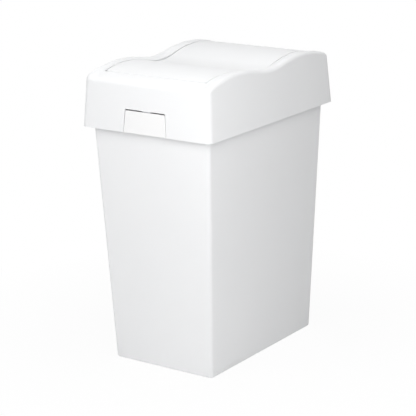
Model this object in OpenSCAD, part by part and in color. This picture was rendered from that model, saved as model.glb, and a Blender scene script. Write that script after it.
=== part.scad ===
// Countertop trash can with a two-way swing lid.
// Millimetres. +Z up, origin on the ground under the middle of the bin,
// X across the width, front (with the latch tab) towards -Y.

/* [Bin body] */
// Outside width at the foot
base_w = 101.6; // [85:0.2:115]
// Outside depth at the foot
base_d = 156.8; // [140:0.2:170]
// Outside width at the rim, without the bead
rim_w = 119.5; // [116:0.5:122]
// Outside depth at the rim, without the bead
rim_d = 175; // [170:0.5:178]
// Height of the rim above the ground
rim_z = 218; // [190:1:250]
// Wall thickness of the bin
bin_wall = 2; // [1.6:0.1:2.6]
// Thickness of the bin's floor
bin_floor = 2.4; // [1.8:0.1:4]
// Radius of the upright corners of the bin
bin_corner_r = 3.3; // [2.7:0.1:6]
// Rounding between the walls and the underside
foot_round = 1.5; // [0.8:0.1:2.5]
// Width of the foot ring that the bin stands on
foot_ring_w = 6; // [4:0.5:10]
// Depth of the recess inside the foot ring
foot_recess = 1; // [0.5:0.1:1.2]
// How far the rim bead stands out
bead_out = 2.4; // [1.6:0.1:2.6]
// Height of the rim bead
bead_h = 4; // [3:0.25:5]

/* [Hood] */
// Play between the rim bead and the hood's two sides
side_room = 1.03; // [0.6:0.01:3]
// Play between the rim bead and the hood's front and back
end_room = 1.92; // [1:0.01:3]
// How far the skirt reaches down over the rim
skirt_overlap = 10.2; // [8:0.2:13]
// Height of the rails' crests above the bin's rim
hood_rise = 39.75; // [37:0.25:44]
// Lean of the two sides from upright
side_draft = 3.48; // [2.8:0.05:4]
// Lean of the front and the back from upright
end_draft = 4.32; // [3.6:0.05:5]
// Wall thickness of the hood
hood_wall = 1.9; // [1.6:0.1:2.2]
// Radius of the hood's upright corners
hood_corner_r = 4.5; // [2.5:0.25:5]
// Rounding between the top and the front or back
top_round = 3; // [2:0.25:4]
// Chamfer along the top outer edge of the rails
rail_chamfer = 1.8; // [1:0.1:2.2]
// Width of each rail's level crown
rail_crown_w = 3.5; // [2.5:0.25:4.5]
// Slope of the rails down to the flap
rail_slope = 20; // [17:0.5:23]
// Thickness of the seat ribs that rest on the bin's rim
rib_t = 2; // [1.6:0.1:3]
// Play between the hood's locating ribs and the bin
rib_play = 0.5; // [0.3:0.05:0.8]

/* [Waves] */
// Distance of each rail crest from the middle
rail_crest_y = 49.5; // [46:0.5:52]
// Fall from the rails' crests to their valley
rail_drop = 5.3; // [4:0.1:6]
// Radius of the rails' valley
rail_valley_r = 85; // [70:1:100]
// Radius of the rails' shoulders towards the front and back
rail_shoulder_r = 125; // [115:1:140]
// How far the flap's crests lie under the rails' crests
flap_sink = 0.7; // [0.3:0.05:1.5]
// Distance of each flap crest from the middle
flap_crest_y = 51.5; // [48:0.5:53]
// Fall from the flap's crests to its valley
flap_drop = 7.6; // [6.6:0.1:8.2]
// Radius of the flap's valley
flap_valley_r = 60; // [50:1:75]
// Radius of the flap's shoulders towards the front and back
flap_shoulder_r = 105; // [100:1:115]

/* [Swing flap] */
// Width from the skirt's lower edge in to the opening for the flap, at each side
rail_w = 13.55; // [12.5:0.05:16]
// Depth from the skirt's lower edge in to that opening, at the front and back
end_w = 15.55; // [14.5:0.05:19]
// Gap between the flap and the opening
flap_gap = 0.9; // [0.7:0.05:1.3]
// Thickness of the flap's skin
flap_skin = 1.6; // [1.2:0.1:2]
// Depth of the flap's turned-down edge
flap_edge_h = 7; // [6:0.25:8.5]
// Rounding of the flap's corners in plan
flap_corner_r = 2; // [1:0.25:3]
// Depth of the pivot axis under the flap's valley
pivot_drop = 5; // [4.6:0.1:5.2]
// Radius of the flap's pivot pins
pin_r = 2; // [1.6:0.1:2.2]
// Radial play of the pins in the hood's bearings
pin_play = 0.06; // [0.03:0.01:0.1]
// Thickness of the hood's bearing brackets
bracket_t = 2.6; // [2:0.1:3.2]
// Distance of the stop peg under the pivot axis
stop_drop = 16; // [15.5:0.25:18]
// Radius of the stop peg
stop_r = 2; // [1.6:0.1:2.2]

/* [Counterweight] */
// Radius of the steel bar under the flap
bar_r = 4; // [3:0.25:5]
// How far the bar stands out of each hanger
bar_stub = 1.6; // [1.2:0.1:2.5]
// Distance of the bar under the pivot axis
bar_drop = 16; // [14:0.25:19]
// Distance of each hanger from the flap's side
hanger_in = 10.1; // [9.5:0.1:16]
// Thickness of each hanger
hanger_t = 2.4; // [1.8:0.1:3]

/* [Latch] */
// Width of the tab at its upper edge
tab_top_w = 40.2; // [34:0.2:44]
// Width of the tab at its lower edge
tab_bottom_w = 43.4; // [40:0.2:46]
// Height of the tab
tab_h = 18.6; // [17:0.2:20]
// Thickness of the tab's panel
tab_t = 1.6; // [1.3:0.1:1.8]
// Gap over the tab
tab_top_gap = 1; // [0.8:0.05:1.3]
// Gap beside the tab
tab_side_gap = 0.6; // [0.4:0.05:0.9]
// Rounding of the tab's upper corners
tab_corner_r = 1.2; // [0.8:0.1:2]
// Distance of the latch pin under the tab's upper edge
latch_pin_drop = 3.7; // [3.4:0.1:4]
// Radius of the latch pin
latch_pin_r = 1; // [0.8:0.05:1.1]
// Radial play of the tab on the latch pin
latch_pin_play = 0.05; // [0.03:0.01:0.1]
// Radius of the tab's hinge barrels and of the hood's lugs
knuckle_r = 2.1; // [1.9:0.05:2.2]
// Gap between the tab's catch and the rim bead
catch_gap = 0.3; // [0.2:0.05:0.5]
// Thickness of the leaf spring
leaf_t = 0.4; // [0.3:0.05:0.5]
// Width of the leaf spring
leaf_w = 9; // [7:0.5:11]
// Length of the leaf spring
leaf_h = 13; // [11:0.5:15]

/* [Hidden] */

white = [0.95, 0.955, 0.96];
tab_white = [0.97, 0.97, 0.97];
nylon = [0.85, 0.85, 0.83];
steel = [0.6, 0.61, 0.63];

// Smoothness of small rounds, of the wave arcs and of faceted corners
$fn = 48;
arc_fn = 360;
hull_fn = 32;
// Number of flat strips on each half of a sloping wave
strips = 24;
// Lean of the rails' chamfer
chamfer_turn = 40;
// Thickness of the discs that stretch a tapered shell
disc = 0.1;
// How far a cut runs past a face, and how high one reaches that is open upwards
over = 1;
tall = 60;
// How far a rib sinks into the wall that it grows from
root = 0.4;

// Bin body: half sizes at any height
side_lean = (rim_w - base_w) / 2 / rim_z;
end_lean = (rim_d - base_d) / 2 / rim_z;
floor_top = bin_floor + foot_recess;
function bin_hw(z) = base_w / 2 + side_lean * z;
function bin_hd(z) = base_d / 2 + end_lean * z;
bead_hw = rim_w / 2 + bead_out;
bead_hd = rim_d / 2 + bead_out;

// Hood: half sizes at any height, from the play round the bead at the rim
skirt_z = rim_z - skirt_overlap;
side_tan = tan(side_draft);
end_tan = tan(end_draft);
hood_w = 2 * (bead_hw + side_room + hood_wall + side_tan * skirt_overlap);
hood_d = 2 * (bead_hd + end_room + hood_wall + end_tan * skirt_overlap);
function hood_hw(z) = hood_w / 2 - side_tan * (z - skirt_z);
function hood_hd(z) = hood_d / 2 - end_tan * (z - skirt_z);
rail_crest_z = rim_z + hood_rise;
flap_crest_z = rail_crest_z - flap_sink;
hood_top_z = rail_crest_z + 3 * over;
// Seat ribs: leg into the bin, slope inside, and foot along the hood's wall
rib_leg_h = 5;
rib_leg_t = 2.5;
end_rib_x = 0.38 * base_w;
rib_shoulder = 3;
rib_rise = 12;

// Flap and its opening
open_hw = hood_w / 2 - rail_w;
open_hd = hood_d / 2 - end_w;
flap_hw = open_hw - flap_gap;
flap_hd = open_hd - flap_gap;
valley_z = flap_crest_z - flap_drop;
pivot_z = valley_z - pivot_drop;
boss_r = pin_r + 1.5;
boss_len = 6;
boss_end_t = 1.2;
bracket_hw = 7;
stop_len = 3;
stop_wall = 1.5;
pin_head_r = pin_r + 1.2;
pin_head_t = 1.6;
pin_head_gap = 0.3;
pin_end_gap = 0.2;
lip_t = 1.8;
lip_h = 6.5;

// Counterweight
bar_z = pivot_z - bar_drop;
hanger_r = bar_r + 2.6;
hanger_hw = flap_hw - hanger_in;
bar_hl = hanger_hw + bar_stub;
hanger_top_hw = 16;
cap_r = bar_r + 2;
cap_floor = 1.6;
cap_gap = 0.05;
// Radial room of what is pushed together and stays put
push_fit = 0.02;

// Latch: measured from the skirt's lower edge, along the leaning front
tab_top_z = skirt_z + tab_h;
latch_pin_z = tab_top_z - latch_pin_drop;
latch_pin_y = -(hood_hd(latch_pin_z) - knuckle_r - 0.4);
knuckle_len = 8;
knuckle_inset = 3;
knuckle_gap = 0.4;
cut_hw = tab_bottom_w / 2 + tab_side_gap;
lug_gap = 0.6;
lug_in = tab_top_w / 2 + tab_side_gap + lug_gap;
lug_out = cut_hw + 5;
lug_end_t = 1.2;
latch_hole_hl = lug_out - lug_end_t;
latch_pin_hl = latch_hole_hl - pin_end_gap;
// The catch: a ridge under the rim bead, with its own slopes
bead_low_z = rim_z - bead_h;
catch_top_z = bead_low_z - 0.2;
catch_low_z = bead_low_z - 2.8;
catch_slope = 0.8;
catch_lead = 1.6;
catch_w = 26;
// Clips of the leaf spring, which start above its free end
leaf_low_z = tab_top_z - 2.2;
leaf_free = 5;
leaf_clip_t = 1.4;
leaf_hook = 1;
leaf_play = 0.1;

// A tapered box with round corners: [half width, half depth, z] at each end
module tapered(low, high, r) {
  hull()
    for (e = [low, high], sx = [-1, 1], sy = [-1, 1])
      translate([sx * (e[0] - r), sy * (e[1] - r), e[2] - (e == high ? disc : 0)])
        cylinder(h = disc, r = r, $fn = hull_fn);
}

// Puts a drawing of depth and height upright, pushed along X from x0 to x1
module along_x(x0, x1)
  translate([x0, 0, 0]) rotate([90, 0, 90]) linear_extrude(x1 - x0) children();

// Puts a drawing of width and height upright, pushed along Y from y0 to y1
module along_y(y0, y1)
  translate([0, y1, 0]) rotate([90, 0, 0]) linear_extrude(y1 - y0) children();

module both_sides() {
  children();
  mirror([1, 0, 0]) children();
}

// A wave is [crest z, crest y, drop, valley radius, shoulder radius]
rail_wave = [rail_crest_z, rail_crest_y, rail_drop, rail_valley_r, rail_shoulder_r];
flap_wave = [flap_crest_z, flap_crest_y, flap_drop, flap_valley_r, flap_shoulder_r];
function lowered(w, d) = [w[0] - d, w[1], w[2], w[3], w[4]];
// The same wave seen square to a plane that tilts by a, so that it meets it true
function tilted(w, a, z0) =
  [z0 + (w[0] - z0) * cos(a), w[1], w[2] * cos(a), w[3] / cos(a), w[4] / cos(a)];
function wave_turn(w) = 2 * atan(w[2] / w[1]);
function wave_crest_r(w) = w[1] / sin(wave_turn(w)) - w[3];

// Everything under a wave, down to z0 and out to y1 each way, in Y and Z
module under_wave(w, z0, y1) {
  turn = wave_turn(w);
  crest_r = wave_crest_r(w);
  y_bend = w[3] * sin(turn);
  z_bend = w[0] - crest_r * (1 - cos(turn));
  difference() {
    union() {
      translate([-y_bend - over, z0]) square([2 * (y_bend + over), z_bend - z0]);
      for (s = [0, 1]) mirror([s, 0]) {
        intersection() {
          translate([y_bend, z0]) square([w[1] - y_bend, w[0] + over - z0]);
          translate([w[1], w[0] - crest_r]) circle(crest_r, $fn = arc_fn);
        }
        intersection() {
          translate([w[1] - over, z0]) square([y1 - w[1] + over, w[0] + over - z0]);
          translate([w[1], w[0] - w[4]]) circle(w[4], $fn = arc_fn);
        }
      }
    }
    translate([0, w[0] - w[2] + w[3]]) circle(w[3], $fn = arc_fn);
  }
}

// Rounds the corner between a wave's shoulder and the leaning front or back:
// the corner is the sector outside a circle that touches both
module end_round(w) {
  r = top_round;
  k = 1 / cos(end_draft);
  a = hood_d / 2 + end_tan * skirt_z - r * k - w[1];
  zs = w[0] - w[4];
  b = a * end_tan + zs;
  zc = (b + sqrt(b * b - k * k * (a * a + zs * zs - pow(w[4] - r, 2)))) / (k * k);
  yc = a - end_tan * zc + w[1];
  up = [yc - w[1], zc - zs] / (w[4] - r);
  out = [cos(end_draft), sin(end_draft)];
  c = [yc, zc];
  far = 2 * r;
  difference() {
    polygon([c, c + far * up, c + far * (up + out), c + far * out]);
    translate(c) circle(r);
  }
}

module hood_profile(w)
  difference() {
    under_wave(w, skirt_z - over, hood_d / 2 + over);
    for (s = [0, 1]) mirror([s, 0]) end_round(w);
  }

// Height of a wave at a distance y from the middle
function wave_z(w, y) =
  let (a = abs(y), c = wave_crest_r(w))
    a < w[3] * sin(wave_turn(w)) ? w[0] - w[2] + w[3] - sqrt(w[3] * w[3] - a * a)
    : a < w[1] ? w[0] - c + sqrt(c * c - pow(w[1] - a, 2))
    : w[0] - w[4] + sqrt(w[4] * w[4] - pow(a - w[1], 2));

// A slab under a wave that also slopes across the width: it meets the wave at
// x = x0 and falls by angle a for each step further along +X. Its top is in flat
// strips, so that it cuts the true curve of the wave cleanly.
module sloped_slab(w, x0, a) {
  t = tilted(w, a, w[0]);
  y1 = hood_d / 2 + 2 * over;
  translate([x0, 0, w[0]]) rotate([0, a, 0]) translate([-x0, 0, -w[0]])
    along_x(0, hood_w)
      polygon([[-y1, skirt_z - tall], for (i = [-strips:strips]) [y1 * i / strips,
        wave_z(t, y1 * i / strips)], [y1, skirt_z - tall]]);
}

// Outside of the hood: the leaning box under the flap's wave and the two rails
module hood_outside() {
  rail_out = hood_hw(rail_crest_z);
  crown_out = rail_out - rail_chamfer;
  crown_in = crown_out - rail_crown_w;
  intersection() {
    tapered([hood_w / 2, hood_d / 2, skirt_z],
      [hood_hw(hood_top_z), hood_hd(hood_top_z), hood_top_z], hood_corner_r);
    union() {
      along_x(-hood_w, hood_w) hood_profile(flap_wave);
      both_sides() intersection() {
        along_x(open_hw, hood_w / 2 + over) hood_profile(rail_wave);
        sloped_slab(rail_wave, crown_in, -rail_slope);
        sloped_slab(rail_wave, crown_out, chamfer_turn);
      }
    }
  }
}

module hood_inside() {
  t = hood_wall;
  groove = open_hw + bracket_t;
  intersection() {
    tapered([hood_hw(skirt_z - over) - t, hood_hd(skirt_z - over) - t, skirt_z - over],
      [hood_hw(hood_top_z) - t, hood_hd(hood_top_z) - t, hood_top_z], hood_corner_r - t);
    union() {
      along_x(-hood_w, hood_w) under_wave(lowered(flap_wave, t), skirt_z - 2 * over, hood_d);
      both_sides() along_x(groove, hood_w)
        under_wave(lowered(rail_wave, t + rail_chamfer), skirt_z - 2 * over, hood_d);
    }
  }
}

// Lip that hangs from the edge of the opening, and stiffens it
module opening_lip() {
  intersection() {
    difference() {
      translate([-open_hw - lip_t, -open_hd - lip_t, skirt_z])
        cube([2 * (open_hw + lip_t), 2 * (open_hd + lip_t), tall]);
      translate([-open_hw, -open_hd, skirt_z - over]) cube([2 * open_hw, 2 * open_hd, tall + 2 * over]);
    }
    along_x(-hood_w, hood_w) difference() {
      under_wave(lowered(flap_wave, root), skirt_z, hood_d);
      under_wave(lowered(flap_wave, lip_h), skirt_z - over, hood_d + over);
    }
  }
}

// Bracket that carries one pivot pin and, lower down, the peg that stops the flap
module bearing_bracket() {
  low_z = pivot_z - stop_drop;
  foot_r = stop_r + stop_wall;
  along_x(open_hw, open_hw + bracket_t) {
    translate([-bracket_hw, pivot_z]) square([2 * bracket_hw, pivot_drop - root]);
    intersection() {
      translate([0, pivot_z]) circle(bracket_hw);
      translate([-bracket_hw, low_z]) square([2 * bracket_hw, stop_drop + over]);
    }
    translate([-foot_r, low_z]) square([2 * foot_r, stop_drop]);
    translate([0, low_z]) circle(foot_r);
  }
  along_x(flap_hw - stop_len, open_hw + root) translate([0, low_z]) circle(stop_r);
}

// A seat rib across the rim: it stands on the rim, a leg hangs inside the bin, and
// its back runs up the hood's wall, which is wall_low from the middle at the rim
module seat_rib(rim_half, lean, wall_low, wall_high) {
  leg_out = rim_half - bin_wall - lean * rib_leg_h - rib_play;
  leg_in = leg_out - rib_leg_t;
  along_y(-rib_t / 2, rib_t / 2)
    polygon([[leg_in, rim_z - rib_leg_h], [leg_out, rim_z - rib_leg_h], [leg_out, rim_z],
      [wall_low + root, rim_z], [wall_high + root, rim_z + rib_rise],
      [leg_in, rim_z + rib_shoulder]]);
}

module seat_ribs() {
  high_z = rim_z + rib_rise;
  both_sides() for (y = [-base_d / 3, 0, base_d / 3])
    translate([0, y, 0])
      seat_rib(rim_w / 2, side_lean, hood_hw(rim_z) - hood_wall, hood_hw(high_z) - hood_wall);
  for (a = [90, -90], x = [-end_rib_x, end_rib_x])
    translate([x, 0, 0]) rotate([0, 0, a])
      seat_rib(rim_d / 2, end_lean, hood_hd(rim_z) - hood_wall, hood_hd(high_z) - hood_wall);
}

// Outline of the tab on the front, grown by a gap at the sides and over the top
module tab_outline(side, top, r) {
  w0 = tab_bottom_w / 2 + side;
  w1 = tab_top_w / 2 + side;
  h = tab_h + top;
  lean = atan((w0 - w1) / h);
  q = w1 - r * (1 + sin(lean)) / cos(lean) + r * tan(lean);
  union() {
    polygon([[-w0, -over * (top > 0 ? 1 : 0)], [w0, -over * (top > 0 ? 1 : 0)],
      [q + r * cos(lean), h - r + r * sin(lean)], [q, h], [-q, h],
      [-q - r * cos(lean), h - r + r * sin(lean)]]);
    for (s = [-1, 1]) translate([s * q, h - r]) circle(r);
  }
}

// Stands a drawing on the leaning front face: drawing x is X, drawing y runs up it
module on_front(depth0, depth1)
  translate([0, -hood_d / 2, skirt_z]) rotate([90 - end_draft, 0, 0])
    translate([0, 0, -depth1]) linear_extrude(depth1 - depth0) children();

// Lugs beside the tab that hold the latch pin
module latch_lugs() {
  both_sides() along_x(lug_in, lug_out)
    translate([latch_pin_y, latch_pin_z]) {
      circle(knuckle_r);
      translate([-knuckle_r - root, -knuckle_r]) square([knuckle_r + root, 2 * knuckle_r]);
    }
}

// Two hooked rails over the tab that the leaf spring slides into
module leaf_clips() {
  behind = hood_wall + leaf_t + 2 * leaf_play;
  low = leaf_low_z + leaf_free - skirt_z;
  high = leaf_low_z + leaf_h - skirt_z;
  edge = leaf_w / 2 + leaf_play;
  for (s = [0, 1]) mirror([s, 0, 0]) {
    on_front(hood_wall - root, behind + leaf_hook)
      translate([edge, low]) square([leaf_clip_t, high - low]);
    on_front(behind, behind + leaf_hook)
      translate([edge - leaf_hook, low]) square([leaf_clip_t + leaf_hook, high - low]);
  }
}

module hood() {
  color(white) difference() {
    union() {
      difference() {
        hood_outside();
        hood_inside();
      }
      opening_lip();
      both_sides() bearing_bracket();
      seat_ribs();
      latch_lugs();
      leaf_clips();
    }
    translate([-open_hw, -open_hd, valley_z - hood_wall - over])
      cube([2 * open_hw, 2 * open_hd, tall]);
    along_x(-open_hw - bracket_t - over, open_hw + bracket_t + over)
      translate([0, pivot_z]) circle(pin_r + pin_play);
    along_x(-latch_hole_hl, latch_hole_hl)
      translate([latch_pin_y, latch_pin_z]) circle(latch_pin_r + push_fit);
    on_front(-over, hood_wall + root) tab_outline(tab_side_gap, tab_top_gap, tab_corner_r);
  }
}

module bin_body() {
  top = [rim_w / 2, rim_d / 2, rim_z];
  low = [bin_hw(foot_round), bin_hd(foot_round), foot_round];
  color(white) difference() {
    union() {
      tapered(low, top, bin_corner_r);
      tapered([base_w / 2 - foot_round, base_d / 2 - foot_round, 0], low,
        bin_corner_r - foot_round);
      tapered([bead_hw, bead_hd, rim_z - bead_h], [bead_hw, bead_hd, rim_z],
        bin_corner_r + bead_out);
    }
    tapered([bin_hw(floor_top) - bin_wall, bin_hd(floor_top) - bin_wall, floor_top],
      [bin_hw(rim_z + over) - bin_wall, bin_hd(rim_z + over) - bin_wall, rim_z + over],
      bin_corner_r - bin_wall);
    translate([foot_ring_w - base_w / 2, foot_ring_w - base_d / 2, -over])
      cube([base_w - 2 * foot_ring_w, base_d - 2 * foot_ring_w, over + foot_recess]);
  }
}

// The flap's outline in plan, to cut its corners round
module flap_plan()
  translate([0, 0, skirt_z]) linear_extrude(tall) union() {
    square([2 * (flap_hw - flap_corner_r), 2 * flap_hd], center = true);
    square([2 * flap_hw, 2 * (flap_hd - flap_corner_r)], center = true);
    for (sx = [-1, 1], sy = [-1, 1])
      translate([sx * (flap_hw - flap_corner_r), sy * (flap_hd - flap_corner_r)])
        circle(flap_corner_r);
  }

// One plate under the flap that holds an end of the counterweight bar
module hanger() {
  along_x(hanger_hw - hanger_t, hanger_hw) intersection() {
    under_wave(lowered(flap_wave, flap_skin - root), bar_z - 2 * hanger_r, hood_d);
    union() {
      polygon([[-hanger_top_hw, flap_crest_z], [hanger_top_hw, flap_crest_z],
        [hanger_r, bar_z], [-hanger_r, bar_z]]);
      translate([0, bar_z]) circle(hanger_r);
    }
  }
}

module swing_flap() {
  color(white) difference() {
    union() {
      intersection() {
        difference() {
          along_x(-flap_hw, flap_hw) under_wave(flap_wave, skirt_z, hood_d);
          along_x(-flap_hw - over, flap_hw + over)
            under_wave(lowered(flap_wave, flap_edge_h), skirt_z - over, hood_d + over);
          intersection() {
            translate([flap_skin - flap_hw, flap_skin - flap_hd, skirt_z])
              cube([2 * (flap_hw - flap_skin), 2 * (flap_hd - flap_skin), tall]);
            along_x(-flap_hw, flap_hw)
              under_wave(lowered(flap_wave, flap_skin), skirt_z - over, hood_d + over);
          }
        }
        flap_plan();
      }
      both_sides() along_x(flap_hw - boss_len, flap_hw)
        translate([0, pivot_z]) circle(boss_r);
      both_sides() hanger();
    }
    both_sides() along_x(flap_hw - boss_len + boss_end_t, flap_hw + over)
      translate([0, pivot_z]) circle(pin_r + push_fit);
    along_x(-flap_hw, flap_hw) translate([0, bar_z]) circle(bar_r + push_fit);
  }
}

// Pin with a broad head, pushed through the bracket into the flap's boss
module flap_pin() {
  x0 = flap_hw - boss_len + boss_end_t + pin_end_gap;
  x_head = open_hw + bracket_t + pin_head_gap;
  color(nylon) {
    along_x(x0, x_head + root) translate([0, pivot_z]) circle(pin_r);
    along_x(x_head, x_head + pin_head_t) translate([0, pivot_z]) circle(pin_head_r);
  }
}

module flap_pin_right() flap_pin();

module flap_pin_left() mirror([1, 0, 0]) flap_pin();

module counterweight_bar()
  color(steel) along_x(-bar_hl, bar_hl) translate([0, bar_z]) circle(bar_r);

// Cap pushed over the end of the bar, against its hanger
module weight_cap() {
  x0 = hanger_hw + cap_gap;
  color(nylon) difference() {
    along_x(x0, bar_hl + cap_floor) translate([0, bar_z]) circle(cap_r);
    along_x(x0 - over, bar_hl + push_fit) translate([0, bar_z]) circle(bar_r + push_fit);
  }
}

module weight_cap_right() weight_cap();

module weight_cap_left() mirror([1, 0, 0]) weight_cap();

module latch_tab() {
  inner = tab_bottom_w / 2 - knuckle_inset;
  panel_in = hood_hd(catch_low_z) - tab_t;
  catch_in = bead_hd + catch_gap;
  color(tab_white) difference() {
    union() {
      on_front(0, tab_t) tab_outline(0, 0, tab_corner_r);
      both_sides() along_x(inner - knuckle_len, inner - knuckle_gap)
        translate([latch_pin_y, latch_pin_z]) circle(knuckle_r);
      along_x(-catch_w / 2, catch_w / 2)
        polygon([[-panel_in - root, catch_low_z], [-panel_in, catch_low_z],
          [-catch_in, catch_low_z + catch_lead], [-catch_in, catch_top_z],
          [-panel_in - root, catch_top_z + catch_slope]]);
    }
    along_x(-tab_bottom_w, tab_bottom_w)
      translate([latch_pin_y, latch_pin_z]) circle(latch_pin_r + latch_pin_play);
  }
}

module latch_pin()
  color(steel) along_x(-latch_pin_hl, latch_pin_hl)
    translate([latch_pin_y, latch_pin_z]) circle(latch_pin_r);

// Flat spring that lies on the hood's front wall and holds the tab shut
module latch_spring()
  color(steel) on_front(hood_wall + leaf_play, hood_wall + leaf_play + leaf_t)
    translate([-leaf_w / 2, leaf_low_z - skirt_z]) square([leaf_w, leaf_h]);

bin_body();
hood();
swing_flap();
flap_pin_left();
flap_pin_right();
counterweight_bar();
weight_cap_left();
weight_cap_right();
latch_tab();
latch_pin();
latch_spring();
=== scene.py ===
"""Countertop trash can with a two-way swing lid: white moulded bin, hood, wavy flap and latch tab.

Metres, +Z up, front with the tab towards -Y. Overall sizes are read from the boxes of the CAD
nodes. Written here are the visible shells with their rounded edges, the finishes, the studio
and the camera.
"""
import math

import bmesh
import bpy
from mathutils import Matrix, Vector


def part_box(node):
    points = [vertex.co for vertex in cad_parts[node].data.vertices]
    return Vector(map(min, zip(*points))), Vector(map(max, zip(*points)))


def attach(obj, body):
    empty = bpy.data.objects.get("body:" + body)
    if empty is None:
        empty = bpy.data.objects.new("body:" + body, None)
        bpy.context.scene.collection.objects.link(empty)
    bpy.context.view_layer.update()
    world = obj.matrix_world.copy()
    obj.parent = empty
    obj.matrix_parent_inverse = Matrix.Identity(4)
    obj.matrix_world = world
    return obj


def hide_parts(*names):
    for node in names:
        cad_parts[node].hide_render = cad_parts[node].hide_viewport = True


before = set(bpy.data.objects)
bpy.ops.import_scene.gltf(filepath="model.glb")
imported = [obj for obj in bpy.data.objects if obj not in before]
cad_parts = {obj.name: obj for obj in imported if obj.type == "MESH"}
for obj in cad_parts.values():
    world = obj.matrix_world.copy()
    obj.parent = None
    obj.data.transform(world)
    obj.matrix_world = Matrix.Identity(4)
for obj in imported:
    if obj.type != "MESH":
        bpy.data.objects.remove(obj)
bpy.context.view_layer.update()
MM = 0.001
# Places closer than this count as one
SAME = 1e-6
CUT_DIST = 1e-7

# ---------------------------------------------------------------- sizes, in metres

HOOD_LOW, HOOD_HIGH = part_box("hood")
FLAP_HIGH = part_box("swing_flap")[1]
BIN_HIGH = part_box("bin_body")[1]
BAR_LOW, BAR_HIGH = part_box("counterweight_bar")
PIN_LOW, PIN_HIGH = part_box("flap_pin_right")

SKIRT_Z = HOOD_LOW.z
HOOD_HW = HOOD_HIGH.x
HOOD_HD = HOOD_HIGH.y
RIM_Z = BIN_HIGH.z
# Lean of the hood's sides, and of its front and back
SIDE_TAN = math.tan(math.radians(3.48))
END_TAN = math.tan(math.radians(4.32))
HOOD_WALL = 1.9 * MM
HOOD_EDGE_R = 3.2 * MM
HOOD_CORNER_R = 4.5 * MM
RIB_Y = 52.3 * MM
RIB_X = 38.6 * MM

FLAP_GAP = 0.9 * MM
FLAP_HW = FLAP_HIGH.x
FLAP_HD = FLAP_HIGH.y
FLAP_SKIN = 1.6 * MM
FLAP_EDGE_H = 7 * MM
FLAP_EDGE_R = 0.5 * MM
FLAP_CORNER_R = 3.2 * MM
# The visible flap is this much narrower at each side than the solid
FLAP_TRIM = 0.15 * MM
OPEN_HW = FLAP_HW + FLAP_GAP
OPEN_HD = FLAP_HD + FLAP_GAP
LIP_H = 6.5 * MM
LIP_AT_PIN = 2.6 * MM
PIN_NOTCH = 3.4 * MM
BORE_R = 2.06 * MM
BOSS_R = 3.5 * MM
BRACKET_HW = 7 * MM
BRACKET_T = 2.6 * MM
STEM_R = 3.5 * MM
STOP_R = 2 * MM
STOP_DROP = 16 * MM

# Each wave: crest height, crest distance, fall to the valley, valley and shoulder radius
RAIL_WAVE = (HOOD_HIGH.z, 49.5 * MM, 5.3 * MM, 85 * MM, 125 * MM)
FLAP_WAVE = (FLAP_HIGH.z, 51.5 * MM, 7.6 * MM, 60 * MM, 105 * MM)
# Where the rails' level crowns end and their slope down to the flap starts
CROWN_IN = 57.35 * MM
RAIL_SLOPE = math.tan(math.radians(20))
CREASE = 0.5 * MM

PIVOT_Z = (PIN_LOW.z + PIN_HIGH.z) / 2
BAR_Z = (BAR_LOW.z + BAR_HIGH.z) / 2
BAR_R = (BAR_HIGH.z - BAR_LOW.z) / 2

BIN_WALL = 2 * MM
FOOT_HW = 50.8 * MM
FOOT_HD = 78.4 * MM
RIM_HW = 59.75 * MM
RIM_HD = 87.5 * MM
BIN_SIDE_LEAN = (RIM_HW - FOOT_HW) / RIM_Z
BIN_END_LEAN = (RIM_HD - FOOT_HD) / RIM_Z
BIN_CORNER_R = 3.3 * MM
BEAD_OUT = 2.4 * MM
BEAD_H = 4 * MM

WIRE_LOW, WIRE_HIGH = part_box("latch_pin")
LATCH_PIN = ((WIRE_LOW.y + WIRE_HIGH.y) / 2, (WIRE_LOW.z + WIRE_HIGH.z) / 2)
KNUCKLE_R = 2.1 * MM
LUG_BORE_R = 1.02 * MM
BARREL_BORE_R = 1.05 * MM
# Along the wire: the tab's barrels, then the hood's lugs with their closed ends
BARREL_IN = 10.7 * MM
BARREL_OUT = 18.3 * MM
LUG_IN = 21.3 * MM
LUG_END_IN = 26.1 * MM
LUG_OUT = 27.3 * MM


# ---------------------------------------------------------------- small helpers

def lerp(a, b, t):
    return a + (b - a) * t


def clamp(x, low=0.0, high=1.0):
    return max(low, min(high, x))


def smooth_max(a, b, k):
    """The larger of two heights, with the crease between them rounded over k."""
    h = clamp(0.5 + 0.5 * (a - b) / k)
    return lerp(b, a, h) + k * h * (1 - h)


def wave(w, y):
    """Height of a wave at a distance y from the middle: valley, crest and shoulder arcs."""
    crest_z, crest_y, drop, valley_r, shoulder_r = w
    turn = 2 * math.atan(drop / crest_y)
    crest_r = crest_y / math.sin(turn) - valley_r
    a = abs(y)
    if a < valley_r * math.sin(turn):
        return crest_z - drop + valley_r - math.sqrt(valley_r ** 2 - a ** 2)
    if a < crest_y:
        return crest_z - crest_r + math.sqrt(crest_r ** 2 - (crest_y - a) ** 2)
    return crest_z - shoulder_r + math.sqrt(shoulder_r ** 2 - (a - crest_y) ** 2)


def hood_top(x, y):
    """Height of the hood's top: the rails' crowns slope down to the flap's wave."""
    slope = (CROWN_IN - abs(x)) * RAIL_SLOPE
    rail = wave(RAIL_WAVE, y) - smooth_max(slope, 0.0, 2 * CREASE)
    return smooth_max(rail, wave(FLAP_WAVE, y), CREASE)


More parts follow.
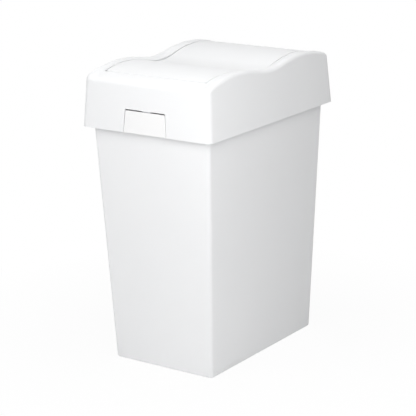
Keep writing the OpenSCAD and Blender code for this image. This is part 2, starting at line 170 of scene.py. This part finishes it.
def finish_mesh(bm, name, body, material, bevel=0.0, solid=0.0, segments=2, angle=35):
    """Turns a bmesh into a piece that rides on a body, with its wall, its small edge
    rounding and its shading."""
    bmesh.ops.remove_doubles(bm, verts=bm.verts, dist=SAME)
    bmesh.ops.recalc_face_normals(bm, faces=bm.faces)
    mesh = bpy.data.meshes.new(name)
    bm.to_mesh(mesh)
    bm.free()
    piece = bpy.data.objects.new(name, mesh)
    bpy.context.scene.collection.objects.link(piece)
    mesh.materials.append(material)
    mesh.polygons.foreach_set("use_smooth", [True] * len(mesh.polygons))
    if solid:
        wall = piece.modifiers.new("wall", "SOLIDIFY")
        wall.thickness = solid
        wall.offset = -1
        wall.use_even_offset = True
        wall.thickness_clamp = 0
    if bevel:
        edge = piece.modifiers.new("edge", "BEVEL")
        edge.width = bevel
        edge.segments = segments
        edge.limit_method = "ANGLE"
        edge.angle_limit = math.radians(angle)
        edge.use_clamp_overlap = True
    shade = piece.modifiers.new("shade", "WEIGHTED_NORMAL")
    shade.keep_sharp = False
    shade.weight = 100
    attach(piece, body)
    return piece


def only(kind, geom):
    return [g for g in geom if isinstance(g, kind)]


def open_bottom(bm):
    """Takes away the faces that lie at height 0."""
    bottom = [f for f in bm.faces if all(v.co.z < SAME for v in f.verts)]
    bmesh.ops.delete(bm, geom=bottom, context="FACES")


def cut_planes(bm, axis, places):
    """Cuts a mesh across an axis at each place."""
    normal = Vector((0, 0, 0))
    normal[axis] = 1
    for place in places:
        geom = bm.verts[:] + bm.edges[:] + bm.faces[:]
        bmesh.ops.bisect_plane(bm, geom=geom, dist=CUT_DIST, plane_co=normal * place,
                               plane_no=normal)


def even(low, high, count):
    return [lerp(low, high, i / count) for i in range(count + 1)]


def arc(centre, r, start, stop, count):
    """Points along an arc, with its angles in degrees."""
    return [(centre[0] + r * math.cos(math.radians(a)), centre[1] + r * math.sin(math.radians(a)))
            for a in even(start, stop, count)]


def circle(centre, r, count=36):
    return arc(centre, r, 0, 360 * (count - 1) / count, count - 1)


def add_plate(bm, outline, axis, low, high, holes=()):
    """Adds a flat plate to a mesh. Its outline and its round holes are drawn in depth and
    height (axis X) or in width and height (axis Y), and it runs from low to high."""
    def place(u, v):
        return (low, u, v) if axis == 0 else (u, low, v)

    edges = []
    for loop in [outline, *holes]:
        verts = [bm.verts.new(place(u, v)) for u, v in loop]
        edges += [bm.edges.new(pair) for pair in zip(verts, verts[1:] + verts[:1])]
    filled = bmesh.ops.triangle_fill(bm, use_beauty=True, edges=edges)["geom"]
    grown = bmesh.ops.extrude_face_region(bm, geom=only(bmesh.types.BMFace, filled))["geom"]
    way = Vector((0, 0, 0))
    way[axis] = high - low
    bmesh.ops.translate(bm, vec=way, verts=only(bmesh.types.BMVert, grown))


def mirrored(outline):
    return [(-u, v) for u, v in outline]


def add_rings(bm, rings, segments):
    """Adds a shell to a mesh: round-cornered rings, each (half width, half depth, corner
    radius, height), joined one to the next and closed at both ends."""
    loops = []
    for hw, hd, r, z in rings:
        ring = bmesh.ops.create_circle(bm, segments=4 * (segments + 1), radius=1)["verts"]
        ring.sort(key=lambda v: math.atan2(v.co.y, v.co.x) % (2 * math.pi))
        corners = [(hw - r, hd - r), (r - hw, hd - r), (r - hw, r - hd), (hw - r, r - hd)]
        points = [p for i, c in enumerate(corners)
                  for p in arc(c, r, 90 * i, 90 * i + 90, segments)]
        for v, (x, y) in zip(ring, points):
            v.co = (x, y, z)
        loops.append(ring)
    for a, b in zip(loops, loops[1:]):
        for i, v in enumerate(a):
            j = (i + 1) % len(a)
            bm.faces.new((v, a[j], b[j], b[i]))
    bm.faces.new(loops[0])
    bm.faces.new(loops[-1])


def rounded_box(hw, hd, z0, z1, corner_r, edge_r, edge_z, segments):
    """A box with round upright corners, and with one end's edges round as well."""
    bm = bmesh.new()
    bmesh.ops.create_cube(bm, size=1)
    size = Vector((2 * hw, 2 * hd, z1 - z0))
    bmesh.ops.scale(bm, vec=size, verts=bm.verts)
    bmesh.ops.translate(bm, vec=(0, 0, (z0 + z1) / 2), verts=bm.verts)
    upright = [e for e in bm.edges if abs(e.verts[0].co.z - e.verts[1].co.z) > SAME]
    bmesh.ops.bevel(bm, geom=upright, offset=corner_r, affect="EDGES", segments=segments,
                    profile=0.5, material=-1)
    ring = [e for e in bm.edges if all(abs(v.co.z - edge_z) < SAME for v in e.verts)]
    if edge_r:
        bmesh.ops.bevel(bm, geom=ring, offset=edge_r, affect="EDGES", segments=segments,
                        profile=0.5, material=-1)
    return bm


# ---------------------------------------------------------------- hood

def squeeze(a, half, inner, shift):
    """Moves a point of a box face inwards by shift at the outside, and not at all inside."""
    r = HOOD_CORNER_R
    s, a = math.copysign(1, a), abs(a)
    if a >= half - r:
        return s * (a - shift)
    if a <= inner:
        return s * a
    return s * lerp(inner, half - r - shift, (a - inner) / (half - r - inner))


def make_hood(material):
    """A box without a bottom, cut into a grid and opened for the flap, which is then moved
    onto the leaning walls and the wavy top."""
    h = 40 * MM
    r = HOOD_EDGE_R
    bm = rounded_box(HOOD_HW, HOOD_HD, 0, h, HOOD_CORNER_R, r, h, 6)
    # The taper leaves the grid alone up to this margin outside the opening
    margin = 0.3 * MM
    inner_x = OPEN_HW + margin
    inner_y = OPEN_HD + margin
    x_lines = [OPEN_HW] + even(OPEN_HW + 2 * margin, HOOD_HW - HOOD_CORNER_R - margin, 14)
    end_step = 2.6 * MM
    end_lines = [s * (OPEN_HD + i * end_step) for i in (1, 2, 3, 4) for s in (-1, 1)]
    cut_planes(bm, 0, [s * x for x in x_lines for s in (-1, 1)])
    cut_planes(bm, 1, even(-OPEN_HD, OPEN_HD, 52) + end_lines)
    open_bottom(bm)
    hole = [f for f in bm.faces if all(v.co.z > h - SAME for v in f.verts)
            and abs(f.calc_center_median().x) < OPEN_HW
            and abs(f.calc_center_median().y) < OPEN_HD]
    bmesh.ops.delete(bm, geom=hole, context="FACES")
    rim = [e for e in bm.edges if e.is_boundary and all(v.co.z > h - SAME for v in e.verts)]
    lip = set(only(bmesh.types.BMVert, bmesh.ops.extrude_edge_only(bm, edges=rim)["geom"]))
    for v in bm.verts:
        x, y, z = v.co
        up = clamp(z / (h - r))
        # Some passes, as the taper depends on the height, and the height on the tapered place
        top = hood_top(x, y)
        for _ in range(3):
            height = lerp(SKIRT_Z, top - r, up) + max(0.0, z - (h - r))
            rise = height - SKIRT_Z
            px = squeeze(x, HOOD_HW, inner_x, SIDE_TAN * rise)
            py = squeeze(y, HOOD_HD, inner_y, END_TAN * rise)
            top = hood_top(px, py)
        drop = lerp(LIP_AT_PIN, LIP_H, clamp((abs(py) - PIN_NOTCH) / PIN_NOTCH))
        v.co = (px, py, height - (drop if v in lip else 0))
    cut_tab_hole(bm)
    return finish_mesh(bm, "hood_shell", "hood_unit", material, bevel=0.25 * MM, solid=HOOD_WALL)


def make_bearings(material):
    """The two brackets that carry the flap's pins, each with its stop peg lower down."""
    bm = bmesh.new()
    half = BRACKET_HW
    top = PIVOT_Z + 4.6 * MM
    pivot = (0, PIVOT_Z)
    stop = (0, PIVOT_Z - STOP_DROP)
    outline = ([(half, top), (-half, top)] + arc(pivot, half, 180, 240, 6)
               + arc(stop, STEM_R, 180, 360, 12) + arc(pivot, half, 300, 360, 6))
    bore = circle(pivot, BORE_R)
    peg = circle(stop, STOP_R, 24)
    for s in (-1, 1):
        add_plate(bm, outline, 0, s * OPEN_HW, s * (OPEN_HW + BRACKET_T), [bore])
        add_plate(bm, peg, 0, s * (FLAP_HW - 3 * MM), s * (OPEN_HW + 0.4 * MM))
    return finish_mesh(bm, "hood_bearings", "hood_unit", material, bevel=0.25 * MM)


def wall_half(half, lean, z):
    """Distance of the hood's inner wall from the middle at a height."""
    return half - lean * (z - SKIRT_Z) - HOOD_WALL


def make_seat_ribs(material):
    """Ribs inside the hood that stand on the bin's rim, with a leg that hangs into it."""
    bm = bmesh.new()
    leg_h = 5 * MM
    leg_t = 2.5 * MM
    shoulder = 3 * MM
    rise = 12 * MM
    play = 0.5 * MM
    root = 0.4 * MM
    for axis, rim, lean, half, tan, places in (
            (1, RIM_HW, BIN_SIDE_LEAN, HOOD_HW, SIDE_TAN, (-RIB_Y, 0, RIB_Y)),
            (0, RIM_HD, BIN_END_LEAN, HOOD_HD, END_TAN, (-RIB_X, RIB_X))):
        leg_out = rim - BIN_WALL - lean * leg_h - play
        leg_in = leg_out - leg_t
        outline = [(leg_in, RIM_Z - leg_h), (leg_out, RIM_Z - leg_h), (leg_out, RIM_Z),
                   (wall_half(half, tan, RIM_Z) + root, RIM_Z),
                   (wall_half(half, tan, RIM_Z + rise) + root, RIM_Z + rise),
                   (leg_in, RIM_Z + shoulder)]
        for place in places:
            for line in (outline, mirrored(outline)):
                add_plate(bm, line, axis, place - MM, place + MM)
    return finish_mesh(bm, "hood_seat_ribs", "hood_unit", material, bevel=0.25 * MM)


def make_latch_lugs(material):
    """Lugs beside the tab that hold its wire pin."""
    bm = bmesh.new()
    outline = circle(LATCH_PIN, KNUCKLE_R)
    bore = circle(LATCH_PIN, LUG_BORE_R, 24)
    for s in (-1, 1):
        add_plate(bm, outline, 0, s * LUG_IN, s * LUG_END_IN, [bore])
        add_plate(bm, outline, 0, s * LUG_END_IN, s * LUG_OUT)
    return finish_mesh(bm, "hood_latch_lugs", "hood_unit", material, bevel=0.2 * MM)


def make_spring_clips(material):
    """Two hooked rails on the hood's front wall that hold the leaf spring."""
    bm = bmesh.new()
    low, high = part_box("latch_spring")
    edge = high.x + 0.1 * MM
    rail_out = edge + 1.4 * MM
    for s in (-1, 1):
        for x0, d0 in ((edge, 1.5 * MM), (edge - MM, 2.5 * MM)):
            block = bmesh.ops.create_cube(bm, size=1)["verts"]
            for v in block:
                x = lerp(x0, rail_out, v.co.x + 0.5)
                depth = lerp(d0, 3.5 * MM, v.co.y + 0.5)
                height = lerp(low.z + 5 * MM, high.z, v.co.z + 0.5)
                v.co = on_front(s * x, (height - SKIRT_Z) / FRONT_UP.z, -depth)
    return finish_mesh(bm, "hood_spring_clips", "hood_unit", material, bevel=0.15 * MM)


TAB_HALF_LOW = 21.7 * MM
TAB_HALF_HIGH = 20.1 * MM
TAB_H = 18.6 * MM
TAB_T = 1.6 * MM
TAB_TOP_GAP = 1.0 * MM
TAB_SIDE_GAP = 0.6 * MM
TAB_CORNER_R = 1.2 * MM
FRONT_UP = Vector((0, END_TAN, 1)).normalized()
FRONT_OUT = Vector((0, -1, END_TAN)).normalized()
FRONT_FOOT = Vector((0, -HOOD_HD, SKIRT_Z))


def tab_outline(side, top):
    """The tab's outline on the front, grown by gaps: points from the lower right corner
    up, over the two round upper corners, and down."""
    w0 = TAB_HALF_LOW + side
    w1 = TAB_HALF_HIGH + side
    h = TAB_H + top
    r = TAB_CORNER_R
    lean = math.atan((w0 - w1) / h)
    q = w1 - r * (1 + math.sin(lean)) / math.cos(lean) + r * math.tan(lean)
    right = [(w0, 0)] + arc((q, h - r), r, math.degrees(lean), 90, 5)
    return right + [(-x, z) for x, z in reversed(right)]


def on_front(x, z, out=0.0):
    return FRONT_FOOT + Vector((x, 0, 0)) + FRONT_UP * z + FRONT_OUT * out


def cut_tab_hole(bm):
    """Cuts the outline of the tab, with its gaps, out of the hood's front wall."""
    def local():
        faces = [f for f in bm.faces if f.normal.dot(FRONT_OUT) > 0.999
                 and f.calc_center_median().z < RIM_Z + 15 * MM]
        edges = {e for f in faces for e in f.edges}
        verts = {v for f in faces for v in f.verts}
        return faces + list(edges) + list(verts)

    bm.normal_update()
    outline = tab_outline(TAB_SIDE_GAP, TAB_TOP_GAP)
    for (x0, z0), (x1, z1) in zip(outline, outline[1:]):
        start = on_front(x0, z0)
        across = (on_front(x1, z1) - start).cross(FRONT_OUT)
        bmesh.ops.bisect_plane(bm, geom=local(), dist=CUT_DIST, plane_co=start, plane_no=across)
        bm.normal_update()

    def inside(p):
        rel = p - FRONT_FOOT
        x, z = rel.x, rel.dot(FRONT_UP)
        return all((x1 - x0) * (z - z0) - (z1 - z0) * (x - x0) > 0
                   for (x0, z0), (x1, z1) in zip(outline, outline[1:]))

    gone = [f for f in only(bmesh.types.BMFace, local()) if inside(f.calc_center_median())]
    bmesh.ops.delete(bm, geom=gone, context="FACES")


# ---------------------------------------------------------------- tab

def make_tab(material):
    bm = bmesh.new()
    face = bm.faces.new([bm.verts.new(on_front(x, z)) for x, z in tab_outline(0, 0)])
    block = bmesh.ops.extrude_face_region(bm, geom=[face])["geom"]
    bmesh.ops.translate(bm, vec=-FRONT_OUT * TAB_T, verts=only(bmesh.types.BMVert, block))
    return finish_mesh(bm, "tab_panel", "latch", material, bevel=0.4 * MM, segments=3)


def make_tab_back(material):
    """What the tab has behind it: two hinge barrels, and the catch that goes under the
    bin's rim bead."""
    bm = bmesh.new()
    barrel = circle(LATCH_PIN, KNUCKLE_R)
    bore = circle(LATCH_PIN, BARREL_BORE_R, 24)
    for s in (-1, 1):
        add_plate(bm, barrel, 0, s * BARREL_IN, s * BARREL_OUT, [bore])
    low_z = RIM_Z - BEAD_H - 2.8 * MM
    panel = HOOD_HD - END_TAN * (low_z - SKIRT_Z) - TAB_T
    tip = RIM_HD + BEAD_OUT + 0.3 * MM
    catch = [(-panel - 0.4 * MM, low_z), (-panel, low_z), (-tip, low_z + 1.6 * MM),
             (-tip, low_z + 2.6 * MM), (-panel - 0.4 * MM, low_z + 3.4 * MM)]
    add_plate(bm, catch, 0, -13 * MM, 13 * MM)
    return finish_mesh(bm, "tab_hinge_and_catch", "latch", material, bevel=0.15 * MM)


# ---------------------------------------------------------------- swing flap

def make_flap(material):
    h = FLAP_EDGE_H
    bm = rounded_box(FLAP_HW - FLAP_TRIM, FLAP_HD, 0, h, FLAP_CORNER_R, FLAP_EDGE_R, h, 4)
    last_cut = FLAP_HD - 2.2 * MM
    cut_planes(bm, 1, even(-last_cut, last_cut, 50))
    open_bottom(bm)
    for v in bm.verts:
        v.co.z += wave(FLAP_WAVE, v.co.y) - h
    return finish_mesh(bm, "flap_shell", "flap", material, bevel=0.35 * MM, solid=FLAP_SKIN,
                       angle=50)


def make_flap_fittings(material):
    """Under the flap: a boss round each pivot pin, and the two hangers of the bar."""
    bm = bmesh.new()
    boss = circle((0, PIVOT_Z), BOSS_R)
    hole = circle((0, BAR_Z), BAR_R + 0.02 * MM)
    hanger_out = FLAP_HW - 10.1 * MM
    hanger_t = 2.4 * MM
    foot_r = BAR_R + 2.6 * MM
    # The hanger's top follows the underside of the flap's wave
    top = [(y, wave(FLAP_WAVE, y) - FLAP_SKIN + 0.4 * MM) for y in even(14 * MM, -14 * MM, 14)]
    hanger = top + arc((0, BAR_Z), foot_r, 180, 360, 20)
    for s in (-1, 1):
        add_plate(bm, boss, 0, s * (FLAP_HW - 6 * MM), s * (FLAP_HW - 0.2 * MM))
        add_plate(bm, hanger, 0, s * hanger_out, s * (hanger_out - hanger_t), [hole])
    return finish_mesh(bm, "flap_bosses_and_hangers", "flap", material, bevel=0.25 * MM)


# ---------------------------------------------------------------- bin

def make_bin(material):
    """The bin from the middle of its underside, round the foot, up the outside, over the
    rim bead and down to the floor."""
    def wall(z, inset, r):
        return (FOOT_HW + BIN_SIDE_LEAN * z - inset, FOOT_HD + BIN_END_LEAN * z - inset, r, z)

    bm = bmesh.new()
    foot_r = 1.5 * MM
    foot_ring = 6 * MM
    recess = 1 * MM
    floor_z = 3.4 * MM
    rings = [wall(recess, foot_ring + 0.3 * MM, MM), wall(0, foot_ring, MM)]
    for a in even(0, 90, 5):
        turn = math.radians(a)
        inset = foot_r * (1 - math.sin(turn))
        rings.append(wall(foot_r * (1 - math.cos(turn)), inset, BIN_CORNER_R - inset))
    bead = RIM_Z - BEAD_H
    rings.append(wall(bead, 0, BIN_CORNER_R))
    for z in (bead, RIM_Z):
        rings.append((RIM_HW + BEAD_OUT, RIM_HD + BEAD_OUT, BIN_CORNER_R + BEAD_OUT, z))
    rings.append(wall(RIM_Z, BIN_WALL, BIN_CORNER_R - BIN_WALL))
    rings.append(wall(floor_z, BIN_WALL, BIN_CORNER_R - BIN_WALL))
    add_rings(bm, rings, 8)
    return finish_mesh(bm, "bin_shell", "bin", material, bevel=0.5 * MM, segments=3)


# ---------------------------------------------------------------- finishes

def node(tree, kind, **values):
    made = tree.nodes.new(kind)
    for name, value in values.items():
        setattr(made, name, value)
    return made


def moulded_skin_group():
    """Fine moulded skin: a colour that drifts a little with the flow of the plastic, an
    uneven gloss, and a fine grain as a height."""
    tree = bpy.data.node_groups.new("moulded_skin", "ShaderNodeTree")
    face = tree.interface
    for name, kind in (("Colour", "NodeSocketColor"), ("Flow colour", "NodeSocketColor"),
                       ("Gloss", "NodeSocketFloat"), ("Gloss drift", "NodeSocketFloat"),
                       ("Grain", "NodeSocketFloat")):
        face.new_socket(name=name, in_out="INPUT", socket_type=kind)
    for name, kind in (("Colour", "NodeSocketColor"), ("Roughness", "NodeSocketFloat"),
                       ("Normal", "NodeSocketVector")):
        face.new_socket(name=name, in_out="OUTPUT", socket_type=kind)
    link = tree.links.new
    ins = node(tree, "NodeGroupInput")
    outs = node(tree, "NodeGroupOutput")
    place = node(tree, "ShaderNodeTexCoord")
    flow = node(tree, "ShaderNodeTexNoise")
    flow.inputs["Scale"].default_value = 14
    flow.inputs["Detail"].default_value = 2
    # Sockets 6 and 7 take this node's two colours, and socket 2 puts out the mix
    mix = node(tree, "ShaderNodeMix", data_type="RGBA")
    link(place.outputs["Object"], flow.inputs["Vector"])
    link(flow.outputs["Fac"], mix.inputs["Factor"])
    link(ins.outputs["Colour"], mix.inputs[6])
    link(ins.outputs["Flow colour"], mix.inputs[7])
    link(mix.outputs[2], outs.inputs["Colour"])
    patch = node(tree, "ShaderNodeTexNoise")
    patch.inputs["Scale"].default_value = 60
    patch.inputs["Detail"].default_value = 3
    link(place.outputs["Object"], patch.inputs["Vector"])
    drift = node(tree, "ShaderNodeMath", operation="MULTIPLY_ADD")
    link(patch.outputs["Fac"], drift.inputs[0])
    link(ins.outputs["Gloss drift"], drift.inputs[1])
    link(ins.outputs["Gloss"], drift.inputs[2])
    link(drift.outputs[0], outs.inputs["Roughness"])
    grain = node(tree, "ShaderNodeTexNoise")
    grain.inputs["Scale"].default_value = 1800
    grain.inputs["Detail"].default_value = 2
    link(place.outputs["Object"], grain.inputs["Vector"])
    bump = node(tree, "ShaderNodeBump")
    bump.inputs["Distance"].default_value = 0.03 * MM
    link(grain.outputs["Fac"], bump.inputs["Height"])
    link(ins.outputs["Grain"], bump.inputs["Strength"])
    link(bump.outputs["Normal"], outs.inputs["Normal"])
    return tree


SKIN = moulded_skin_group()


def plastic(name, colour, flow, gloss, drift, grain):
    """Moulded plastic with a dull gloss."""
    material = bpy.data.materials.new(name)
    material.use_nodes = True
    tree = material.node_tree
    shader = tree.nodes["Principled BSDF"]
    skin = node(tree, "ShaderNodeGroup", node_tree=SKIN)
    skin.inputs["Colour"].default_value = (*colour, 1)
    skin.inputs["Flow colour"].default_value = (*flow, 1)
    skin.inputs["Gloss"].default_value = gloss
    skin.inputs["Gloss drift"].default_value = drift
    skin.inputs["Grain"].default_value = grain
    tree.links.new(skin.outputs["Colour"], shader.inputs["Base Color"])
    tree.links.new(skin.outputs["Roughness"], shader.inputs["Roughness"])
    tree.links.new(skin.outputs["Normal"], shader.inputs["Normal"])
    shader.inputs["IOR"].default_value = 1.49
    shader.inputs["Specular IOR Level"].default_value = 0.2
    return material


def steel(name):
    """Drawn steel wire and bar: fine streaks along X."""
    material = bpy.data.materials.new(name)
    material.use_nodes = True
    tree = material.node_tree
    shader = tree.nodes["Principled BSDF"]
    shader.inputs["Metallic"].default_value = 1
    place = node(tree, "ShaderNodeTexCoord")
    stretch = node(tree, "ShaderNodeMapping")
    stretch.inputs["Scale"].default_value = (0.03, 1, 1)
    noise = node(tree, "ShaderNodeTexNoise")
    noise.inputs["Scale"].default_value = 2500
    ramp = node(tree, "ShaderNodeValToRGB")
    ramp.color_ramp.elements[0].color = (0.42, 0.43, 0.45, 1)
    ramp.color_ramp.elements[1].color = (0.62, 0.63, 0.65, 1)
    rough = node(tree, "ShaderNodeMapRange")
    rough.inputs["To Min"].default_value = 0.22
    rough.inputs["To Max"].default_value = 0.38
    link = tree.links.new
    link(place.outputs["Object"], stretch.inputs["Vector"])
    link(stretch.outputs["Vector"], noise.inputs["Vector"])
    link(noise.outputs["Fac"], ramp.inputs["Fac"])
    link(ramp.outputs["Color"], shader.inputs["Base Color"])
    link(noise.outputs["Fac"], rough.inputs["Value"])
    link(rough.outputs["Result"], shader.inputs["Roughness"])
    return material


WHITE = plastic("white_plastic", (0.835, 0.84, 0.85), (0.86, 0.865, 0.87), 0.55, 0.08, 0.25)
# The tab's plastic is a little lighter and more neutral than the rest: painted light, standing in
# for the light that the tab's face catches.
TAB_PAINTED_LIGHT_WHITE = plastic("tab_plastic", (0.86, 0.86, 0.86), (0.88, 0.88, 0.88), 0.52, 0.08, 0.2)
NYLON = plastic("nylon", (0.62, 0.62, 0.58), (0.7, 0.7, 0.66), 0.5, 0.1, 0.3)
STEEL = steel("steel")


def dress(name, material):
    """Gives a carried-over CAD node its finish."""
    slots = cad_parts[name].data.materials
    slots.clear()
    slots.append(material)


for name in ("flap_pin_left", "flap_pin_right", "weight_cap_left", "weight_cap_right"):
    dress(name, NYLON)
for name in ("counterweight_bar", "latch_pin", "latch_spring"):
    dress(name, STEEL)


def dressed(piece, slot, *nodes):
    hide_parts(*nodes)


dressed(make_hood(WHITE), "white_plastic", "hood")
for make in (make_bearings, make_seat_ribs, make_latch_lugs, make_spring_clips):
    dressed(make(WHITE), "white_plastic", "hood")
dressed(make_flap(WHITE), "white_plastic", "swing_flap")
dressed(make_flap_fittings(WHITE), "white_plastic", "swing_flap")
# The tab gets the lighter copy of the white plastic: painted light on its face.
dressed(make_tab(TAB_PAINTED_LIGHT_WHITE), "tab_plastic", "latch_tab")
dressed(make_tab_back(TAB_PAINTED_LIGHT_WHITE), "tab_plastic", "latch_tab")
dressed(make_bin(WHITE), "white_plastic", "bin_body")


# ---------------------------------------------------------------- studio

def shown(tree):
    """Socket that is 1 for what the camera sees, also in gloss and through glass, and 0 for
    the light that falls on the object."""
    path = node(tree, "ShaderNodeLightPath")
    seen = node(tree, "ShaderNodeMath", operation="MAXIMUM")
    seen_too = node(tree, "ShaderNodeMath", operation="MAXIMUM")
    tree.links.new(path.outputs["Is Camera Ray"], seen.inputs[0])
    tree.links.new(path.outputs["Is Glossy Ray"], seen.inputs[1])
    tree.links.new(seen.outputs[0], seen_too.inputs[0])
    tree.links.new(path.outputs["Is Transmission Ray"], seen_too.inputs[1])
    return seen_too.outputs[0]


def stage_material():
    """White sweep: it shows white to the camera, and keeps a part of the object's shadow
    near its foot."""
    material = bpy.data.materials.new("studio_sweep")
    material.use_nodes = True
    tree = material.node_tree
    shader = tree.nodes["Principled BSDF"]
    out = tree.nodes["Material Output"]
    shader.inputs["Base Color"].default_value = (0.9, 0.9, 0.9, 1)
    shader.inputs["Roughness"].default_value = 1
    share = node(tree, "ShaderNodeMath", operation="MULTIPLY")
    place = node(tree, "ShaderNodeTexCoord")
    reach = node(tree, "ShaderNodeVectorMath", operation="LENGTH")
    fade = node(tree, "ShaderNodeMapRange")
    fade.inputs["From Min"].default_value = 0.12
    fade.inputs["From Max"].default_value = 0.3
    fade.inputs["To Min"].default_value = 0.94
    fade.inputs["To Max"].default_value = 1.0
    glow = node(tree, "ShaderNodeEmission")
    mix = node(tree, "ShaderNodeMixShader")
    link = tree.links.new
    link(shown(tree), share.inputs[0])
    link(place.outputs["Object"], reach.inputs[0])
    link(reach.outputs["Value"], fade.inputs["Value"])
    link(fade.outputs["Result"], share.inputs[1])
    link(share.outputs[0], mix.inputs[0])
    link(shader.outputs[0], mix.inputs[1])
    link(glow.outputs[0], mix.inputs[2])
    link(mix.outputs[0], out.inputs["Surface"])
    return material


FLOOR_HALF = 3.0
FLOOR_DROP = 0.2 * MM

bm = bmesh.new()
bmesh.ops.create_grid(bm, x_segments=1, y_segments=1, size=FLOOR_HALF)
floor_mesh = bpy.data.meshes.new("floor")
bm.to_mesh(floor_mesh)
bm.free()
floor = bpy.data.objects.new("floor", floor_mesh)
floor.location.z = -FLOOR_DROP
bpy.context.scene.collection.objects.link(floor)
floor_mesh.materials.append(stage_material())

world = bpy.data.worlds.new("studio")
bpy.context.scene.world = world
world.use_nodes = True
sky = world.node_tree
background = sky.nodes["Background"]
level = node(sky, "ShaderNodeMapRange")
level.inputs["To Min"].default_value = 0.2
level.inputs["To Max"].default_value = 1.0
sky.links.new(shown(sky), level.inputs["Value"])
sky.links.new(level.outputs["Result"], background.inputs["Strength"])
background.inputs["Color"].default_value = (1, 1, 1, 1)


LAMP_AIM_Z = 200 * MM


def softbox(name, azimuth, elevation, distance, size, power):
    """A square lamp aimed at the object's axis at LAMP_AIM_Z. Azimuth 0 is in front of the
    object, and 90 at its right."""
    light = bpy.data.lights.new(name, "AREA")
    light.shape = "SQUARE"
    light.size = size
    light.energy = power
    lamp = bpy.data.objects.new(name, light)
    across, up = math.radians(azimuth), math.radians(elevation)
    aim = Vector((math.sin(across) * math.cos(up), -math.cos(across) * math.cos(up), math.sin(up)))
    lamp.location = Vector((0, 0, LAMP_AIM_Z)) + aim * distance
    lamp.rotation_euler = aim.to_track_quat("Z", "Y").to_euler()
    lamp.visible_camera = False
    bpy.context.scene.collection.objects.link(lamp)


softbox("key_softbox", azimuth=35, elevation=17.4, distance=0.456, size=0.3, power=0.68)
softbox("front_softbox", azimuth=50, elevation=10, distance=0.6, size=0.4, power=0.68)
softbox("left_softbox", azimuth=-30, elevation=10, distance=1.0, size=0.6, power=1.5)
softbox("left_high_softbox", azimuth=-30, elevation=35, distance=0.7, size=0.4, power=1.1)
softbox("right_high_softbox", azimuth=95, elevation=50, distance=0.7, size=0.4, power=0.6)
softbox("right_softbox", azimuth=95, elevation=20, distance=0.7, size=0.4, power=0.25)
softbox("top_softbox", azimuth=0, elevation=88, distance=0.5, size=0.3, power=1.0)
softbox("rear_softbox", azimuth=170, elevation=35, distance=1.0, size=0.6, power=0.5)


# ---------------------------------------------------------------- camera

CAMERA_AZIMUTH = math.radians(35.395)
CAMERA_ELEVATION = math.radians(15.902)
CAMERA_ROLL = math.radians(-1.233)
CAMERA_LENS = 143.76
SENSOR_WIDTH = 36
CAMERA_DISTANCE = 1452.7 * MM
AIM_HEIGHT = 125 * MM
AIM_RIGHT = -4 * MM
AIM_UP = -2 * MM


def make_camera():
    """The photo's view. Its aim is a point on the axis, moved right and up in the picture."""
    back = Vector((math.sin(CAMERA_AZIMUTH) * math.cos(CAMERA_ELEVATION),
                   -math.cos(CAMERA_AZIMUTH) * math.cos(CAMERA_ELEVATION),
                   math.sin(CAMERA_ELEVATION)))
    level_right = Vector((0, 0, 1)).cross(back).normalized()
    level_up = back.cross(level_right)
    right = level_right * math.cos(CAMERA_ROLL) + level_up * math.sin(CAMERA_ROLL)
    up = level_up * math.cos(CAMERA_ROLL) - level_right * math.sin(CAMERA_ROLL)
    place = (Vector((0, 0, AIM_HEIGHT)) + right * AIM_RIGHT + up * AIM_UP
             + back * CAMERA_DISTANCE)
    data = bpy.data.cameras.new("camera")
    data.lens = CAMERA_LENS
    data.sensor_width = SENSOR_WIDTH
    camera = bpy.data.objects.new("camera", data)
    turned = Matrix((right, up, back)).transposed().to_4x4()
    camera.matrix_world = Matrix.Translation(place) @ turned
    bpy.context.scene.collection.objects.link(camera)
    bpy.context.scene.camera = camera


make_camera()
bpy.context.scene.view_settings.view_transform = "Standard"
